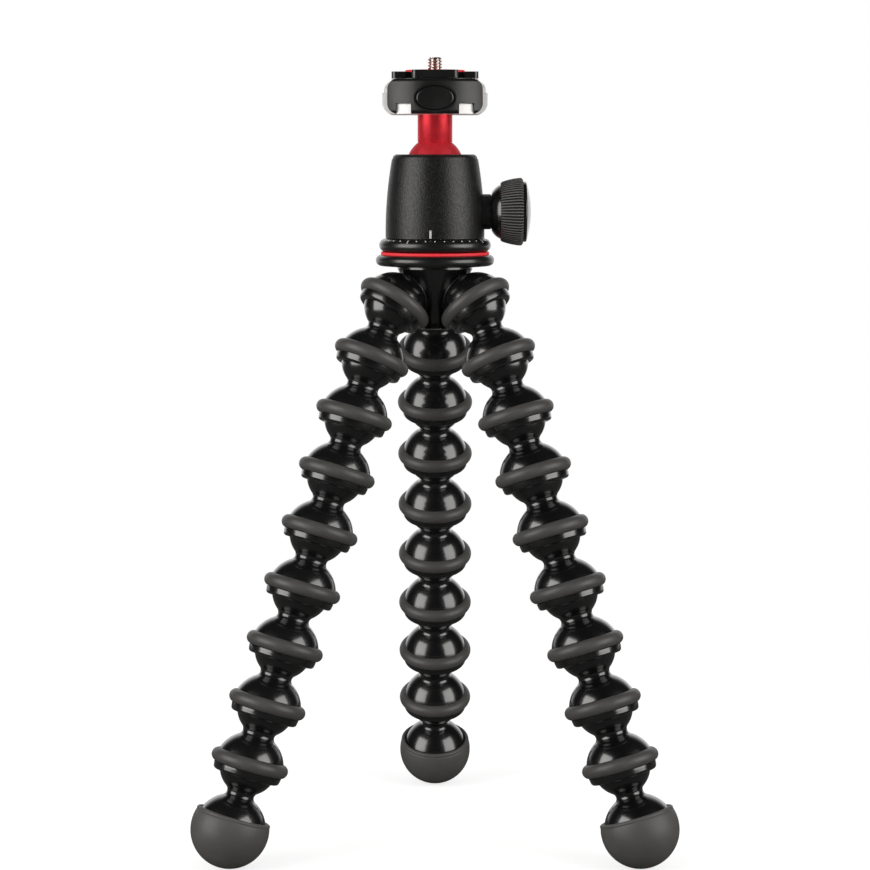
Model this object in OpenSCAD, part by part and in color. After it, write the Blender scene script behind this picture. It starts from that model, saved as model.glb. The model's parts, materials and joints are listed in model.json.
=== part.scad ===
// Flexible leg tripod with a ball head, a quick-release clamp and a camera plate.
// Millimetres, +Z up, the origin on the floor under the hub. The front of the object faces -Y.

/* [Leg links] */
// Diameter of each leg ball
ball_d = 25; // [23:0.5:25.5]
// Running clearance between a ball and its socket
ball_gap = 0.2; // [0.1:0.05:0.35]
// Wall of a socket around its ball
socket_wall = 2.3; // [2.1:0.1:2.7]
// Distance from one ball centre to the next
link_pitch = 26.1; // [25.5:0.1:28.5]
// Radius of the round groove at the neck
neck_groove_r = 2.3; // [1.8:0.1:2.8]
// Reach of a socket's lip below the ball centre
lip_drop = 4.6; // [4:0.1:5.2]
// Rounding of the lip's outer edge
lip_round = 1.5; // [0.8:0.1:1.8]

/* [Rubber rings] */
// Radius of a ring's rounded outside
ring_r = 3; // [2.6:0.1:3.3]
// Outer diameter of a ring
ring_d = 34; // [33:0.1:34.8]
// Depth of a ring's seat in the socket wall
ring_seat = 1.1; // [0.8:0.1:1.3]
// Height of a ring's middle above the ball centre
ring_rise = 1.65; // [1.2:0.05:2.2]
// Clearance between pieces that are stretched or bonded on
seat_gap = 0.08; // [0.04:0.01:0.12]

/* [Legs] */
// Lean of the hub sockets from the vertical
hub_lean = 38; // [34:0.5:42]
// Lean of the first link of each leg
shoulder_lean = 25.5; // [22:0.5:32]
// Lean of the other links and of the foot
leg_lean = 19.2; // [14:0.1:24]
// Diameter of the round end of a foot
foot_d = 30.8; // [28:0.2:33]
// Distance from a foot's ball to the middle of its round end
foot_reach = 27.9; // [26.5:0.1:30]
// Wall of a rubber boot
boot_wall = 1.5; // [1:0.1:2.5]
// Height of a boot's rim above the middle of the foot
boot_rim = 5.3; // [3:0.1:7]
// Bead by which the boot's rim is thicker than its wall, on each side
boot_bead = 0.25; // [0.1:0.05:0.5]

/* [Hub] */
// Distance of each hub ball from the middle of the hub
hub_ball_r = 21.3; // [20.8:0.1:24]
// Height of the disc's underside above the hub balls
hub_rise = 17.3; // [16.2:0.1:20]
// Diameter of the hub column under the disc
column_d = 33.2; // [30:0.2:38]
// Diameter of the column where its taper ends
column_waist_d = 17; // [14:0.5:18]
// Height of the waist below the hub balls
column_waist_drop = 1.4; // [0:0.1:2.4]
// Diameter of the column's foot
column_foot_d = 11.4; // [10:0.1:11.8]
// Depth of the column's foot below the hub balls
column_foot_drop = 10; // [6:0.5:14]
// Diameter of the mount disc
disc_d = 52; // [50:0.5:60]
// Thickness of the mount disc
disc_t = 4.8; // [4:0.1:6]
// Diameter of the red pad on the disc
pad_d = 47.5; // [44:0.5:48.5]
// Thickness of the red pad
pad_t = 1.3; // [0.8:0.1:2]

/* [Camera thread] */
// Outer diameter of the camera screw thread
thread_d = 6.35; // [6.35, 9.525]
// Length of the stud above the tripod pad
stud_h = 5.5; // [4.5:0.1:6]
// Length of the camera screw above the plate's pad
camera_screw_h = 5.5; // [4.5:0.1:6.5]
// Radial clearance round a thread in its hole
thread_gap = 0.15; // [0.1:0.05:0.3]
// Length of a screw tip's taper
tip_taper = 0.7; // [0.4:0.1:1]

/* [Ball head] */
// Diameter of the pan base
base_d = 49; // [46:0.5:56]
// Thickness of the pan base
base_h = 5.8; // [5:0.1:7]
// Gap between the pan base and the housing
pan_gap = 0.3; // [0.2:0.05:0.5]
// Diameter of the housing at its bottom
housing_d = 43.4; // [42.4:0.2:45]
// Diameter of the housing at its top
housing_top_d = 37; // [35:0.2:40]
// Height of the housing
housing_h = 36.4; // [35:0.2:40]
// Bulge of the housing's barrel side
housing_bulge = 0.9; // [0.3:0.1:1.6]
// Rounding of the housing's top edge
housing_round = 2; // [1:0.1:3]
// Diameter of the head's ball
head_ball_d = 25; // [24:0.2:26]
// Depth of the ball's centre below the housing's top
head_ball_sink = 4.9; // [4:0.1:6]
// Running clearance round the head's ball
head_ball_gap = 0.2; // [0.15:0.05:0.35]
// Diameter of the stem
stem_d = 15.2; // [13:0.1:15.6]
// Length of the stem between ball and clamp
stem_h = 12.3; // [10:0.1:18]
// Clearance of the stem in the housing's drop notch
notch_gap = 0.5; // [0.3:0.1:1]

/* [Lock knob] */
// Height of the knob's axis above the housing's bottom
knob_rise = 11.4; // [10.4:0.1:12]
// Diameter of the boss behind the knob
boss_d = 15.4; // [14:0.2:18]
// Distance of the boss's end from the middle of the head
boss_reach = 24.4; // [23.6:0.1:26]
// Gap between the boss and the knob
knob_gap = 0.4; // [0.3:0.05:0.8]
// Length of the knob's inner cone
knob_cone = 3.9; // [3:0.1:5]
// Length of the ribbed grip
grip_w = 9.9; // [8:0.1:14]
// Diameter of the grip at its inner end
grip_d = 25.8; // [24:0.2:28]
// Diameter of the grip at its outer end
grip_end_d = 29.8; // [28:0.1:32]
// Bulge of the grip's side
grip_bulge = 0.4; // [0.2:0.05:0.6]
// Number of ribs on the grip
grip_ribs = 68; // [36:1:72]
// Width of a groove between two ribs
rib_groove_w = 0.6; // [0.4:0.05:0.8]
// Depth of the grooves at the ends of the grip
rib_depth = 0.35; // [0.2:0.05:0.6]
// Height of the domed cap
cap_h = 3.5; // [2.5:0.1:5]
// Diameter of the domed cap
cap_d = 26.4; // [23:0.2:26.4]
// Diameter of the lock screw
lock_screw_d = 6; // [5:0.5:7]
// Diameter of the lock screw's tip in the brake wedge
lock_tip_d = 3.4; // [2.6:0.1:4]
// Length of the brake wedge
wedge_l = 17; // [15:0.5:18]
// Width of the brake wedge
wedge_w = 15; // [12:0.5:16]
// Slope of the brake wedge
wedge_angle = 14; // [10:0.5:18]

/* [Clamp] */
// Width of the silver clamp base
clamp_w = 45.3; // [44:0.1:50]
// Width of the black front jaw
jaw_w = 41; // [38:0.2:43]
// Height of the clamp
clamp_h = 15; // [14.4:0.1:17]
// Thickness of the front jaw at its middle
jaw_t = 8.2; // [7.4:0.1:9]
// Thickness of the rear jaw
rear_jaw_t = 5.5; // [5:0.1:8]
// Corner rounding of the clamp's front outline
clamp_round = 4.5; // [3:0.1:5]
// Radius of the front jaw's curved front, in plan
jaw_crown_r = 30; // [28:0.5:36]
// Rounding of the front jaw's upper and lower front edges
jaw_edge_round = 1.8; // [1:0.1:2.4]
// Gap between the jaw and the base, and round sliding pieces
slide_gap = 0.25; // [0.15:0.05:0.35]
// Width of a window in the front jaw
window_w = 6.7; // [5:0.1:8]
// Height of a window
window_h = 4.5; // [3:0.1:5]
// Distance of a window's middle from the middle of the jaw
window_x = 13.4; // [12.8:0.1:14.5]
// Width of the oval button
button_w = 16; // [14:0.2:17]
// Height of the oval button
button_h = 10; // [8:0.2:10.4]
// How far the button stands out of the jaw
button_proud = 1; // [0.6:0.1:1.6]
// Wall of the raised collar round the button
collar_t = 0.9; // [0.6:0.1:1.1]
// Travel of the button
button_travel = 2; // [1:0.1:2.4]
// Travel of the front jaw
jaw_travel = 4; // [3:0.1:4.4]
// Diameter of the jaw's guide rods
rod_d = 3; // [2.6:0.1:3.4]

/* [Camera plate] */
// Length of the plate along the dovetail
plate_w = 37.4; // [36:0.1:43]
// Width of the plate's dovetail at its bottom
dovetail_w = 38; // [37.2:0.1:40]
// Height of the dovetail
dovetail_h = 2.7; // [2.4:0.1:3.4]
// Height of the plate's top deck above the clamp
deck_h = 2.8; // [2.4:0.1:3.4]
// Gap between the clamp's top and the plate's deck
deck_gap = 0.3; // [0.2:0.05:0.5]
// Width of the front block
block_w = 20; // [16:0.2:21]
// How far the front block stands out before the frame
block_t = 4; // [2.4:0.1:4.4]
// How far the front block stands up above the deck
block_rise = 0.7; // [0.3:0.1:0.9]
// Depth of the plate's frame across the dovetail
frame_depth = 36; // [34:0.2:38]
// Width of an end foot
end_foot_w = 4.2; // [3:0.1:5]
// Height of the end feet below the dovetail
end_foot_h = 3; // [2:0.1:3.4]
// Width of a black ear on the frame
ear_w = 6; // [4.8:0.2:7]
// Diameter of the plate's red pad
plate_pad_d = 26; // [24:0.5:26]
// Thickness of the plate's red pad
plate_pad_t = 1.6; // [1.3:0.1:2.4]
// Length of the yellow-green strip
vial_w = 26.5; // [20:0.5:27]
// Height of the yellow-green strip
vial_h = 2.1; // [1.6:0.1:2.4]

/* [Hidden] */
$fn = 96;
// Reach of cutting blocks, past every piece that they cut
far = 80;
// Overlap of joined shapes, so that no two faces only touch
bite = 0.03;

links = 8;
LEGS = ["left", "right", "back"];
leg_azimuth = [210, 330, 90];

// Leg link
ball_r = ball_d / 2;
socket_r = ball_r + ball_gap;
dome_r = socket_r + socket_wall;
lip_mid = lip_drop - lip_round;
lip_x = sqrt(dome_r ^ 2 - lip_mid ^ 2) - lip_round;
ring_x = ring_d / 2 - ring_r;
ring_seat_r = dome_r - ring_seat;

// Foot and boot
foot_r = foot_d / 2;
boot_in_r = foot_r + seat_gap;
boot_r = boot_in_r + boot_wall;
boot_mid_r = (boot_in_r + boot_r) / 2;
boot_bead_r = boot_wall / 2 + boot_bead;

// Lean of the hub socket (0), of each link (1 to 8) and of the foot (9)
function lean(i) = i == 0 ? hub_lean : i == 1 ? shoulder_lean : leg_lean;
// Place of ball i of a leg: distance from the hub's axis, and height above the floor
function ball_x(i) = i == 1 ? hub_ball_r : ball_x(i - 1) + link_pitch * sin(lean(i - 1));
function ball_z(i) =
    i == links + 1 ? boot_r + foot_reach * cos(lean(i)) : ball_z(i + 1) + link_pitch * cos(lean(i));

// Hub
hub_z = ball_z(1);
disc_z = hub_z + hub_rise;
pad_z = disc_z + disc_t;
head_z = pad_z + pad_t;
column_rim = 1.2;
disc_screw_d = 3;
disc_screw_head_d = 5.6;
disc_screw_head_h = 1.7;
disc_screw_l = 9;
disc_screw_circle_r = 11.5;
stud_flange_d = 14;
stud_flange_h = 1.6;
stud_shank_l = 13;

// Threads
thread_r = thread_d / 2;
thread_hole_r = thread_r + thread_gap;

// Head, with heights above the head's seat on the pad
housing_z = base_h + pan_gap;
housing_top_z = housing_z + housing_h;
head_ball_r = head_ball_d / 2;
head_ball_z = housing_top_z - head_ball_sink;
head_bore_r = head_ball_r + head_ball_gap;
bore_step = 0.3;
stem_r = stem_d / 2;
stem_top_z = head_ball_z + sqrt(head_ball_r ^ 2 - stem_r ^ 2) + stem_h;
spigot_h = 3;
notch_r = stem_r + notch_gap;
floor_t = 3.5;
floor_ledge = 3.4;
floor_r = head_bore_r + floor_ledge;
floor_top_z = housing_z + floor_t;
axle_wall = 2.4;
axle_r = thread_hole_r + axle_wall;
axle_flange_w = 2.4;
axle_flange_r = axle_r + axle_flange_w;
axle_flange_t = 1.6;
axle_top_z = floor_top_z + pan_gap + axle_flange_t;
base_foot_t = 1.6;

// Lock: the wedge lies on the axle's flange, below the seat
knob_z = housing_z + knob_rise;
wedge_z = axle_top_z + pan_gap;
wedge_side_gap = 1.2;
seat_t = 2.95;
seat_fit = 0.25;
wedge_mid_h = head_ball_z - head_bore_r - seat_t - seat_fit - wedge_z;
seat_r = head_bore_r - seat_fit;
seat_rim_gap = 0.4;
seat_rim_drop = notch_r + seat_rim_gap;
lock_tip_l = 2.2;
lock_tip_x = wedge_l / 2 - lock_tip_l;
lock_screw_end = 1.5;
knob_x = boss_reach + knob_gap;
grip_x = knob_x + knob_cone;
grip_end_x = grip_x + grip_w;
core_r = 10.2;
cone_small_d = 17;
cone_step = 1;
cone_bulge = 0.4;
cap_lip = 0.9;
boss_bore_gap = 0.2;
lock_room_d = lock_screw_d + 2 * boss_bore_gap;

// Clamp, with heights above the head's seat
clamp_z = stem_top_z;
clamp_top_z = clamp_z + clamp_h;
dovetail_slope = 45;
dovetail_fit = 0.2;
neck_w = dovetail_w - 2 * dovetail_h / tan(dovetail_slope);
foot_gap = 0.2;
neck_h = 0.4;
plate_z = clamp_top_z + deck_gap - neck_h - dovetail_h;
channel_z = plate_z - end_foot_h - foot_gap;
channel_half = dovetail_w / 2 + dovetail_fit;
jaw_back_y = -channel_half;
jaw_front_y = jaw_back_y - jaw_t;
jaw_foot_t = 1.6;
base_front_y = jaw_back_y + jaw_foot_t;
base_back_y = channel_half + rear_jaw_t;
tongue_w = window_w - 2 * slide_gap;
tongue_setback = 1.2;
collar_proud = 0.3;
rod_hold = 1.2;
rod_start_y = jaw_back_y - rod_hold;
clamp_screw_d = 5;
clamp_screw_head_d = 9;
clamp_screw_head_h = 2.6;
clamp_screw_l = 11;
rod_inset = 4.9;
rod_x = jaw_w / 2 - rod_inset;
rod_cover = 0.8;
rod_z = channel_z - rod_cover - rod_d / 2;
rod_l = 18;
button_rise = 6.7;
button_z = clamp_z + button_rise;
button_t = 3.2;
button_room_w = button_w + 2 * slide_gap;
button_room_h = button_h + 2 * slide_gap;

// Plate, with heights above the head's seat
deck_z = clamp_top_z + deck_gap;
deck_top_z = deck_z + deck_h;
core_w = 29;
core_depth = 27;
plate_corner_r = 2;
block_round = 2;
notch_rim = 1;
notch_depth = (frame_depth - core_depth) / 2 - notch_rim;
end_foot_depth = 26;
end_foot_round = 1;
pad_recess = 0.6;
plate_pad_z = deck_top_z - pad_recess + seat_gap;
plate_pad_top_z = plate_pad_z + plate_pad_t;
thread_depth = 0.75;
captive_r = thread_r - thread_depth;
plate_screw_head_d = 12;
plate_screw_head_h = 2;
vial_depth = 5;
vial_y = -9;

leg_link_names = [for (leg = LEGS, i = [1:links]) str(leg, "_link_", i)];
leg_foot_names = [for (leg = LEGS, part = ["_hub_ring", "_foot", "_boot"]) str(leg, part)];
hub_names = ["hub_body", "mount_disc", "disc_screws", "disc_pad", "tripod_screw"];
head_names = [
    "pan_base", "pan_axle", "floor_plate", "housing", "ball_seat", "brake_shoe",
    "lock_screw", "knob_hub", "knob_grip", "knob_cap", "ball_stem"
];
clamp_names = ["clamp_base", "clamp_screw", "front_jaw", "jaw_rods", "release_button"];
plate_names = ["camera_plate", "plate_frame", "end_stops", "plate_pad", "camera_screw", "level_vial"];

gloss_black = "#1a1a1c";
satin_black = "#232326";
rubber_grey = "#454548";
pad_red = "#e8333a";
anodised_red = "#b5202c";
steel = "#c9cbce";
silver = "#dcdad6";
seat_white = "#d8d4c8";
vial_green = "#dfe8a8";

// Helpers

// The right half of a 2D outline, for turning round the Z axis
module right_half() {
    intersection() {
        children();
        translate([0, -far]) square([far, 2 * far]);
    }
}

// Puts a shape that is drawn at a leg's ball i, with its axis along Z, into its place
module at_ball(leg, i, lean_of) {
    rotate([0, 0, leg_azimuth[leg]])
        translate([ball_x(i), 0, ball_z(i)])
            rotate([0, -lean(lean_of), 0])
                children();
}

module in_head() {
    translate([0, 0, head_z]) children();
}

// Draws a shape along +X that was drawn along +Z
module along_x() {
    rotate([0, 90, 0]) children();
}

// A rounded rectangle about the origin, made of squares and circles
module rounded_rect(w, h, r) {
    square([w - 2 * r, h], center = true);
    square([w, h - 2 * r], center = true);
    for (sx = [-1, 1], sy = [-1, 1])
        translate([sx * (w / 2 - r), sy * (h / 2 - r)]) circle(r);
}

// A rounded rectangle in the XZ plane, from its bottom, extruded from y0 to y1
module front_slab(w, h, r, y0, y1) {
    translate([0, y1, h / 2])
        rotate([90, 0, 0])
            linear_extrude(y1 - y0) rounded_rect(w, h, r);
}

// A disc with a fully rounded edge, standing on the origin
module round_edge_disc(d, t) {
    edge_r = t / 2;
    rotate_extrude() {
        square([d / 2 - edge_r, t]);
        translate([d / 2 - edge_r, edge_r]) right_half() circle(edge_r);
    }
}

// Half outline of a turned piece whose side goes from r0 at its foot to r1 at height h in a
// bulging arc
module bulged_outline(r0, r1, h, bulge) {
    half_chord = sqrt((r0 - r1) ^ 2 + h ^ 2) / 2;
    side_r = (half_chord ^ 2 + bulge ^ 2) / (2 * bulge);
    tilt = atan((r0 - r1) / h);
    to_centre = side_r - bulge;
    intersection() {
        square([max(r0, r1) + bulge, h]);
        translate([(r0 + r1) / 2 - to_centre * cos(tilt), h / 2 - to_centre * sin(tilt)])
            circle(side_r, $fn = 256);
    }
}

// Leg link outlines, with the ball's centre at the origin and the leg running down

// Half outline of a ball, a neck and a round end of radius end_r, whose centre lies reach below
module neck_outline(end_r, reach) {
    to_ball = ball_r + neck_groove_r - bite;
    to_end = end_r + neck_groove_r - bite;
    groove_z = (to_ball ^ 2 - to_end ^ 2 + reach ^ 2) / (2 * reach);
    groove_x = sqrt(to_ball ^ 2 - groove_z ^ 2);
    fill_x = groove_x * ball_r / to_ball;
    difference() {
        union() {
            right_half() circle(ball_r);
            translate([0, -reach]) right_half() circle(end_r);
            translate([0, -reach]) square([fill_x, reach]);
        }
        translate([groove_x, -groove_z]) circle(neck_groove_r);
    }
}

// What is cut from a socket whose ball centre is at the origin: the ball's room, all below the
// lip, the corner outside the lip's rounding and the seat of the ring
module socket_cuts() {
    circle(socket_r);
    translate([-far, -far]) square([2 * far, far - lip_drop]);
    difference() {
        translate([lip_x, -lip_drop - bite]) square([far, lip_round + bite]);
        translate([lip_x, -lip_mid]) circle(lip_round);
    }
    intersection() {
        translate([ring_x, ring_rise]) circle(ring_r + seat_gap);
        translate([ring_seat_r, -far]) square([far, 2 * far]);
    }
}

module ring_outline() {
    intersection() {
        translate([ring_x, ring_rise]) circle(ring_r);
        translate([ring_seat_r + seat_gap, -far]) square([far, 2 * far]);
    }
}

module link_body() {
    rotate_extrude()
        difference() {
            neck_outline(dome_r, link_pitch);
            translate([0, -link_pitch]) socket_cuts();
        }
}

module grip_ring() {
    rotate_extrude() ring_outline();
}

// Legs

module link(leg, i) {
    at_ball(leg, i, i) {
        color(gloss_black) link_body();
        color(rubber_grey) translate([0, 0, -link_pitch]) grip_ring();
    }
}

module hub_ring(leg) {
    color(rubber_grey) at_ball(leg, 1, 0) grip_ring();
}

module foot(leg) {
    color(gloss_black)
        at_ball(leg, links + 1, links + 1)
            rotate_extrude() neck_outline(foot_r, foot_reach);
}

module boot_outline() {
    difference() {
        union() {
            difference() {
                circle(boot_r);
                translate([-far, boot_rim]) square([2 * far, far]);
            }
            translate([sqrt(boot_mid_r ^ 2 - boot_rim ^ 2), boot_rim]) circle(boot_bead_r);
        }
        circle(boot_in_r);
    }
}

module boot(leg) {
    color(rubber_grey)
        at_ball(leg, links + 1, links + 1)
            translate([0, 0, -foot_reach])
                rotate_extrude() right_half() boot_outline();
}

// Hub

module column_outline() {
    foot_z = -column_foot_drop;
    waist_z = -column_waist_drop;
    polygon([
        [0, foot_z],
        [column_foot_d / 2, foot_z],
        [column_foot_d / 2, waist_z - (column_waist_d - column_foot_d) / 2],
        [column_waist_d / 2, waist_z],
        [column_d / 2, hub_rise - column_rim],
        [column_d / 2, hub_rise],
        [0, hub_rise]
    ]);
}

module at_hub_sockets() {
    for (leg = [0:len(LEGS) - 1]) at_ball(leg, 1, 0) children();
}

module at_disc_screws() {
    for (a = leg_azimuth) rotate([0, 0, a]) translate([disc_screw_circle_r, 0, pad_z]) children();
}

module hub_body() {
    color(gloss_black)
        difference() {
            union() {
                translate([0, 0, hub_z]) rotate_extrude() column_outline();
                at_hub_sockets() sphere(dome_r);
            }
            at_hub_sockets() rotate_extrude() right_half() socket_cuts_in_hub();
            translate([0, 0, pad_z - stud_flange_h - stud_shank_l - pan_gap])
                cylinder(r = thread_hole_r, h = far);
            at_disc_screws()
                translate([0, 0, -disc_screw_l - pan_gap])
                    cylinder(d = disc_screw_d + 2 * seat_gap, h = far);
        }
}

// The socket's cuts, held near the socket so that they leave the rest of the hub whole
module socket_cuts_in_hub() {
    intersection() {
        socket_cuts();
        circle(dome_r + ring_r);
    }
}

module mount_disc() {
    color(gloss_black)
        difference() {
            translate([0, 0, disc_z]) round_edge_disc(disc_d, disc_t);
            translate([0, 0, disc_z - bite]) cylinder(r = thread_hole_r, h = far);
            translate([0, 0, pad_z - stud_flange_h - seat_gap])
                cylinder(d = stud_flange_d + 2 * seat_gap, h = far);
            at_disc_screws() {
                translate([0, 0, -far]) cylinder(d = disc_screw_d + 2 * seat_gap, h = 2 * far);
                translate([0, 0, -disc_screw_head_h - seat_gap])
                    cylinder(d = disc_screw_head_d + 2 * seat_gap, h = far);
            }
        }
}

module disc_screws() {
    color(steel)
        at_disc_screws() {
            translate([0, 0, -disc_screw_head_h]) cylinder(d = disc_screw_head_d, h = disc_screw_head_h);
            translate([0, 0, -disc_screw_l]) cylinder(d = disc_screw_d, h = disc_screw_l - bite);
        }
}

module disc_pad() {
    color(pad_red)
        translate([0, 0, pad_z])
            difference() {
                cylinder(d = pad_d, h = pad_t);
                translate([0, 0, -bite]) cylinder(r = thread_hole_r, h = far);
            }
}

// A screw's threaded length, pointing up, with a tapered tip
module screw_shank(r, length) {
    cylinder(r = r, h = length - tip_taper);
    translate([0, 0, length - tip_taper - bite])
        cylinder(r1 = r, r2 = r - tip_taper, h = tip_taper + bite);
}

module tripod_screw() {
    color(steel)
        translate([0, 0, pad_z - stud_flange_h]) {
            cylinder(d = stud_flange_d, h = stud_flange_h);
            screw_shank(thread_r, stud_flange_h + pad_t + stud_h);
            translate([0, 0, -stud_shank_l]) cylinder(r = thread_r, h = stud_shank_l + bite);
        }
}

// Ball head

module pan_base() {
    color(satin_black)
        in_head()
            difference() {
                round_edge_disc(base_d, base_h);
                translate([0, 0, base_foot_t]) cylinder(r = axle_flange_r + seat_gap, h = far);
                translate([0, 0, -bite]) cylinder(r = axle_r + seat_gap, h = far);
            }
}

module pan_axle() {
    color(steel)
        in_head()
            difference() {
                union() {
                    cylinder(r = axle_r, h = axle_top_z);
                    translate([0, 0, base_foot_t + seat_gap])
                        cylinder(r = axle_flange_r, h = base_h - base_foot_t - seat_gap);
                    translate([0, 0, axle_top_z - axle_flange_t])
                        cylinder(r = axle_flange_r, h = axle_flange_t);
                }
                translate([0, 0, -bite]) cylinder(r = thread_hole_r, h = stud_h + pan_gap + bite);
            }
}

module floor_plate() {
    color(steel)
        in_head()
            translate([0, 0, housing_z])
                difference() {
                    cylinder(r = floor_r, h = floor_t);
                    translate([0, 0, -bite]) cylinder(r = axle_r + pan_gap, h = far);
                }
}

module housing_outline() {
    round_x = housing_top_d / 2 - housing_round;
    round_z = housing_h - housing_round;
    difference() {
        bulged_outline(housing_d / 2, housing_top_d / 2, housing_h, housing_bulge);
        difference() {
            translate([round_x, round_z]) square(far);
            translate([round_x, round_z]) circle(housing_round + bite);
        }
    }
}

module housing() {
    color(satin_black)
        in_head()
            difference() {
                union() {
                    translate([0, 0, housing_z]) rotate_extrude() housing_outline();
                    translate([0, 0, knob_z]) along_x() cylinder(d = boss_d, h = boss_reach);
                }
                translate([0, 0, head_ball_z]) sphere(head_bore_r);
                translate([0, 0, housing_z - bite])
                    cylinder(r = head_bore_r + bore_step, h = head_ball_z - housing_z + bite);
                translate([0, 0, housing_z - bite])
                    cylinder(r = floor_r + seat_gap, h = floor_t + seat_gap + bite);
                translate([0, 0, knob_z]) along_x() cylinder(d = lock_room_d, h = far);
                translate([0, 0, head_ball_z]) drop_notch();
            }
}

// Slot at the back that lets the stem lie down
module drop_notch() {
    translate([0, far, 0])
        rotate([90, 0, 0])
            linear_extrude(far) {
                circle(notch_r);
                translate([-notch_r, 0]) square([2 * notch_r, far]);
            }
}

// Block under a slope that climbs towards +X, at the wedge's middle height over the origin
module under_slope(extra) {
    rotate([0, -wedge_angle, 0])
        translate([-far / 2, -far / 2, -far + extra]) cube([far, far, far]);
}

module brake_shoe() {
    color(steel)
        in_head()
            translate([0, 0, wedge_z])
                difference() {
                    intersection() {
                        translate([-wedge_l / 2, -wedge_w / 2, 0]) cube([wedge_l, wedge_w, far]);
                        translate([0, 0, wedge_mid_h]) under_slope(0);
                        cylinder(r = seat_r - wedge_side_gap, h = far);
                    }
                    translate([lock_tip_x - seat_gap, 0, knob_z - wedge_z])
                        along_x() cylinder(d = lock_tip_d + 2 * boss_bore_gap, h = far);
                }
}

module ball_seat() {
    color(seat_white)
        in_head()
            difference() {
                translate([0, 0, wedge_z]) cylinder(r = seat_r, h = head_ball_z - seat_rim_drop - wedge_z);
                translate([0, 0, head_ball_z]) sphere(head_bore_r);
                translate([0, 0, wedge_z + wedge_mid_h]) under_slope(seat_fit);
                translate([wedge_l / 2, 0, knob_z]) along_x() cylinder(d = lock_room_d, h = far);
            }
}

module lock_screw() {
    color(steel)
        in_head()
            translate([0, 0, knob_z])
                along_x() {
                    translate([0, 0, lock_tip_x]) cylinder(d = lock_tip_d, h = lock_tip_l + seat_fit + bite);
                    translate([0, 0, wedge_l / 2 + seat_fit])
                        cylinder(d = lock_screw_d, h = grip_end_x - lock_screw_end - wedge_l / 2 - seat_fit);
                }
}

module knob_hub() {
    cone_r = grip_d / 2 - cone_step;
    bore_l = grip_end_x - lock_screw_end - knob_x + seat_gap + bite;
    color(gloss_black)
        in_head()
            translate([0, 0, knob_z])
                along_x()
                    difference() {
                        union() {
                            translate([0, 0, knob_x])
                                rotate_extrude()
                                    bulged_outline(cone_small_d / 2, cone_r, knob_cone, cone_bulge);
                            translate([0, 0, grip_x - bite]) cylinder(r = core_r, h = grip_w + bite);
                        }
                        translate([0, 0, knob_x - bite])
                            cylinder(d = lock_screw_d + 2 * seat_gap, h = bore_l);
                    }
}

module knob_grip() {
    length = grip_w - 2 * seat_gap;
    flare = atan((grip_end_d - grip_d) / 2 / length);
    color(rubber_grey)
        in_head()
            translate([grip_x + seat_gap, 0, knob_z])
                along_x()
                    difference() {
                        rotate_extrude() bulged_outline(grip_d / 2, grip_end_d / 2, length, grip_bulge);
                        translate([0, 0, -bite]) cylinder(r = core_r + seat_gap, h = far);
                        for (k = [0:grip_ribs - 1])
                            rotate([0, 0, 360 * k / grip_ribs])
                                translate([grip_d / 2, 0, 0])
                                    rotate([0, flare, 0])
                                        translate([-rib_depth, -rib_groove_w / 2, -grip_w / 2])
                                            cube([grip_w, rib_groove_w, 2 * grip_w]);
                    }
}

module knob_cap() {
    dome_h = cap_h - cap_lip;
    dome_sphere_r = ((cap_d / 2) ^ 2 + dome_h ^ 2) / (2 * dome_h);
    color(gloss_black)
        in_head()
            translate([grip_end_x, 0, knob_z])
                along_x()
                    intersection() {
                        cylinder(d = cap_d, h = cap_h);
                        translate([0, 0, cap_h - dome_sphere_r]) sphere(dome_sphere_r);
                    }
}

module ball_stem() {
    color(anodised_red)
        in_head()
            difference() {
                rotate_extrude() {
                    translate([0, head_ball_z]) right_half() circle(head_ball_r);
                    translate([0, head_ball_z]) square([stem_r, stem_top_z + spigot_h - head_ball_z]);
                }
                translate([0, 0, stem_top_z + spigot_h - clamp_screw_l])
                    cylinder(d = clamp_screw_d + 2 * thread_gap, h = far);
            }
}

// Clamp

module at_rods() {
    for (s = [-1, 1]) translate([s * rod_x, 0, rod_z]) rotate([-90, 0, 0]) children();
}

// Room for the plate: a channel with a dovetail overhang at its rear side
module channel() {
    translate([-far, 0, 0])
        rotate([90, 0, 90])
            linear_extrude(2 * far)
                polygon([
                    [-far, channel_z],
                    [channel_half, channel_z],
                    [channel_half, plate_z],
                    [neck_w / 2 + dovetail_fit, plate_z + dovetail_h],
                    [neck_w / 2 + dovetail_fit, far],
                    [-far, far]
                ]);
}

// Tongues of the clamp base in the jaw's windows, set back behind the jaw's curved front
module window_tongues() {
    intersection() {
        for (s = [-1, 1])
            translate([s * window_x - tongue_w / 2, jaw_front_y, clamp_z])
                cube([tongue_w, base_front_y - jaw_front_y + bite, window_h - slide_gap]);
        translate([0, jaw_front_y + jaw_crown_r, clamp_z - bite])
            cylinder(r = jaw_crown_r - tongue_setback, h = clamp_h, $fn = 256);
    }
}

module clamp_base() {
    color(silver)
        in_head()
            difference() {
                union() {
                    translate([0, 0, clamp_z])
                        front_slab(clamp_w, clamp_h, clamp_round, base_front_y, base_back_y);
                    window_tongues();
                }
                channel();
                translate([0, 0, clamp_z - bite])
                    cylinder(r = stem_r + slide_gap, h = spigot_h + seat_gap + bite);
                translate([0, 0, clamp_z]) cylinder(d = clamp_screw_d + 2 * thread_gap, h = far);
                translate([0, 0, channel_z - clamp_screw_head_h - seat_gap])
                    cylinder(d = clamp_screw_head_d + 2 * seat_gap, h = far);
                at_rods()
                    translate([0, 0, base_front_y - bite])
                        cylinder(d = rod_d + 2 * slide_gap, h = rod_l + jaw_travel);
            }
}

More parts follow.
